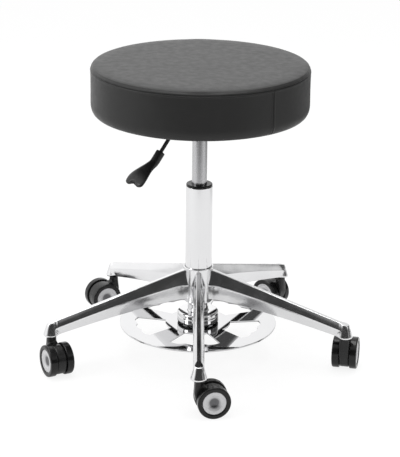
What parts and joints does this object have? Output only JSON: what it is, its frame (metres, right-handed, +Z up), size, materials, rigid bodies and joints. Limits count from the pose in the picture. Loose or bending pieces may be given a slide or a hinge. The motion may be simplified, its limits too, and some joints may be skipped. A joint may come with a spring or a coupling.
{
  "type": "rolling stool",
  "caption": "Round padded stool on a gas column with a hand lever, a star base on twin-wheel swivel casters and a round foot release plate that tips to every side.",
  "frame": {"origin": "on the floor, on the axis of the column", "axes": "+Z up along the column; -Y towards the viewer of the picture, the stool's front; +X to the viewer's right"},
  "size_m": [0.5967, 0.5915, 0.566],
  "materials": {
    "leatherette": "dark grey leatherette with a fine grain",
    "plywood": "plain plywood",
    "black_steel": "black powder coat",
    "black_plastic": "black moulded plastic",
    "grey_steel": "satin grey",
    "bright_steel": "zinc plated",
    "chrome": "mirror chrome",
    "polished_aluminium": "polished casting",
    "rubber": "black rubber",
    "tread": "black soft tread",
    "silver_plastic": "silver painted plastic"
  },
  "bodies": {
    "base": {"base_star": "polished_aluminium", "column_tube": "chrome", "guide_bush": "black_plastic", "thrust_bearing": "bright_steel", "release_housing": "chrome", "buffer_ring": "rubber"},
    "spindle": {"piston_rod": "chrome", "rod_clip": "bright_steel"},
    "seat": {"gas_cylinder": "grey_steel", "lever_bracket": "black_steel", "lever_pivot_pin": "bright_steel", "seat_plate": "black_steel", "seat_board": "plywood", "seat_cushion": "leatherette", "seat_screw_1": "bright_steel", "seat_screw_2": "bright_steel", "seat_screw_3": "bright_steel", "seat_screw_4": "bright_steel"},
    "lever": {"lever_rod": "black_steel", "lever_handle": "black_plastic"},
    "valve_pin": {"release_pin": "bright_steel"},
    "gimbal": {"tilt_ring": "bright_steel"},
    "pedal": {"foot_plate": "chrome", "plate_collar": "bright_steel"},
    "tappet": {"foot_tappet": "bright_steel"},
    "caster_front": {"caster_front_hood": "black_plastic", "caster_front_stem": "bright_steel", "caster_front_axle": "bright_steel"},
    "wheel_front_left": {"caster_front_tyre_left": "tread", "caster_front_core_left": "silver_plastic"},
    "wheel_front_right": {"caster_front_tyre_right": "tread", "caster_front_core_right": "silver_plastic"},
    "caster_right_front": {"caster_right_front_hood": "black_plastic", "caster_right_front_stem": "bright_steel", "caster_right_front_axle": "bright_steel"},
    "wheel_right_front_left": {"caster_right_front_tyre_left": "tread", "caster_right_front_core_left": "silver_plastic"},
    "wheel_right_front_right": {"caster_right_front_tyre_right": "tread", "caster_right_front_core_right": "silver_plastic"},
    "caster_right_back": {"caster_right_back_hood": "black_plastic", "caster_right_back_stem": "bright_steel", "caster_right_back_axle": "bright_steel"},
    "wheel_right_back_left": {"caster_right_back_tyre_left": "tread", "caster_right_back_core_left": "silver_plastic"},
    "wheel_right_back_right": {"caster_right_back_tyre_right": "tread", "caster_right_back_core_right": "silver_plastic"},
    "caster_left_back": {"caster_left_back_hood": "black_plastic", "caster_left_back_stem": "bright_steel", "caster_left_back_axle": "bright_steel"},
    "wheel_left_back_left": {"caster_left_back_tyre_left": "tread", "caster_left_back_core_left": "silver_plastic"},
    "wheel_left_back_right": {"caster_left_back_tyre_right": "tread", "caster_left_back_core_right": "silver_plastic"},
    "caster_left_front": {"caster_left_front_hood": "black_plastic", "caster_left_front_stem": "bright_steel", "caster_left_front_axle": "bright_steel"},
    "wheel_left_front_left": {"caster_left_front_tyre_left": "tread", "caster_left_front_core_left": "silver_plastic"},
    "wheel_left_front_right": {"caster_left_front_tyre_right": "tread", "caster_left_front_core_right": "silver_plastic"}
  },
  "joints": [
    {"name": "seat_swivel", "type": "hinge", "parent": "base", "child": "spindle", "pos_m": [0, 0, 0.1168], "axis": [0, 0, 1], "continuous": true},
    {"name": "seat_lift", "type": "slide", "parent": "spindle", "child": "seat", "axis": [0, 0, 1], "range_m": [-0.075, 0.055]},
    {"name": "lever_pull", "type": "hinge", "parent": "seat", "child": "lever", "pos_m": [-0.02121, -0.02121, 0.4614], "axis": [-0.7071, 0.7071, 0], "range_deg": [0, 8], "stiffness_Nm_per_rad": 2, "springref_deg": -11.46},
    {"name": "valve_press", "type": "slide", "parent": "seat", "child": "valve_pin", "axis": [0, 0, 1], "range_m": [-0.0043, 0]},
    {"name": "foot_tilt_x", "type": "hinge", "parent": "base", "child": "gimbal", "pos_m": [0, 0, 0.0765], "axis": [1, 0, 0], "range_deg": [-3, 3], "stiffness_Nm_per_rad": 40},
    {"name": "foot_tilt_y", "type": "hinge", "parent": "gimbal", "child": "pedal", "pos_m": [0, 0, 0.0765], "axis": [0, 1, 0], "range_deg": [-3, 3], "stiffness_Nm_per_rad": 40},
    {"name": "tappet_lift", "type": "slide", "parent": "base", "child": "tappet", "axis": [0, 0, 1], "range_m": [0, 0.004], "stiffness_N_per_m": 200, "springref_m": -0.002},
    {"name": "caster_front_swivel", "type": "hinge", "parent": "base", "child": "caster_front", "pos_m": [0.00299, -0.28538, 0.0686], "axis": [0, 0, 1], "continuous": true},
    {"name": "wheel_front_left_roll", "type": "hinge", "parent": "caster_front", "child": "wheel_front_left", "pos_m": [0.02699, -0.28046, 0.03], "axis": [-0.2011, 0.9796, 0], "continuous": true},
    {"name": "wheel_front_right_roll", "type": "hinge", "parent": "caster_front", "child": "wheel_front_right", "pos_m": [0.02699, -0.28046, 0.03], "axis": [-0.2011, 0.9796, 0], "continuous": true},
    {"name": "caster_right_front_swivel", "type": "hinge", "parent": "base", "child": "caster_right_front", "pos_m": [0.27234, -0.08535, 0.0686], "axis": [0, 0, 1], "continuous": true},
    {"name": "wheel_right_front_left_roll", "type": "hinge", "parent": "caster_right_front", "child": "wheel_right_front_left", "pos_m": [0.27731, -0.06135, 0.03], "axis": [-0.9792, 0.2028, 0], "continuous": true},
    {"name": "wheel_right_front_right_roll", "type": "hinge", "parent": "caster_right_front", "child": "wheel_right_front_right", "pos_m": [0.27731, -0.06135, 0.03], "axis": [-0.9792, 0.2028, 0], "continuous": true},
    {"name": "caster_right_back_swivel", "type": "hinge", "parent": "base", "child": "caster_right_back", "pos_m": [0.16533, 0.23264, 0.0686], "axis": [0, 0, 1], "continuous": true},
    {"name": "wheel_right_back_left_roll", "type": "hinge", "parent": "caster_right_back", "child": "wheel_right_back_left", "pos_m": [0.14701, 0.2489, 0.03], "axis": [-0.6639, -0.7478, 0], "continuous": true},
    {"name": "wheel_right_back_right_roll", "type": "hinge", "parent": "caster_right_back", "child": "wheel_right_back_right", "pos_m": [0.14701, 0.2489, 0.03], "axis": [-0.6639, -0.7478, 0], "continuous": true},
    {"name": "caster_left_back_swivel", "type": "hinge", "parent": "base", "child": "caster_left_back", "pos_m": [-0.17016, 0.22912, 0.0686], "axis": [0, 0, 1], "continuous": true},
    {"name": "wheel_left_back_left_roll", "type": "hinge", "parent": "caster_left_back", "child": "wheel_left_back_left", "pos_m": [-0.19176, 0.21755, 0.03], "axis": [0.4726, -0.8813, 0], "continuous": true},
    {"name": "wheel_left_back_right_roll", "type": "hinge", "parent": "caster_left_back", "child": "wheel_left_back_right", "pos_m": [-0.19176, 0.21755, 0.03], "axis": [0.4726, -0.8813, 0], "continuous": true},
    {"name": "caster_left_front_swivel", "type": "hinge", "parent": "base", "child": "caster_left_front", "pos_m": [-0.27049, -0.09103, 0.0686], "axis": [0, 0, 1], "continuous": true},
    {"name": "wheel_left_front_left_roll", "type": "hinge", "parent": "caster_left_front", "child": "wheel_left_front_left", "pos_m": [-0.2591, -0.11272, 0.03], "axis": [0.8854, 0.4648, 0], "continuous": true},
    {"name": "wheel_left_front_right_roll", "type": "hinge", "parent": "caster_left_front", "child": "wheel_left_front_right", "pos_m": [-0.2591, -0.11272, 0.03], "axis": [0.8854, 0.4648, 0], "continuous": true}
  ],
  "couplings": [
    {"joint": "valve_press", "follows": "lever_pull", "m_per_rad": -0.03}
  ]
}
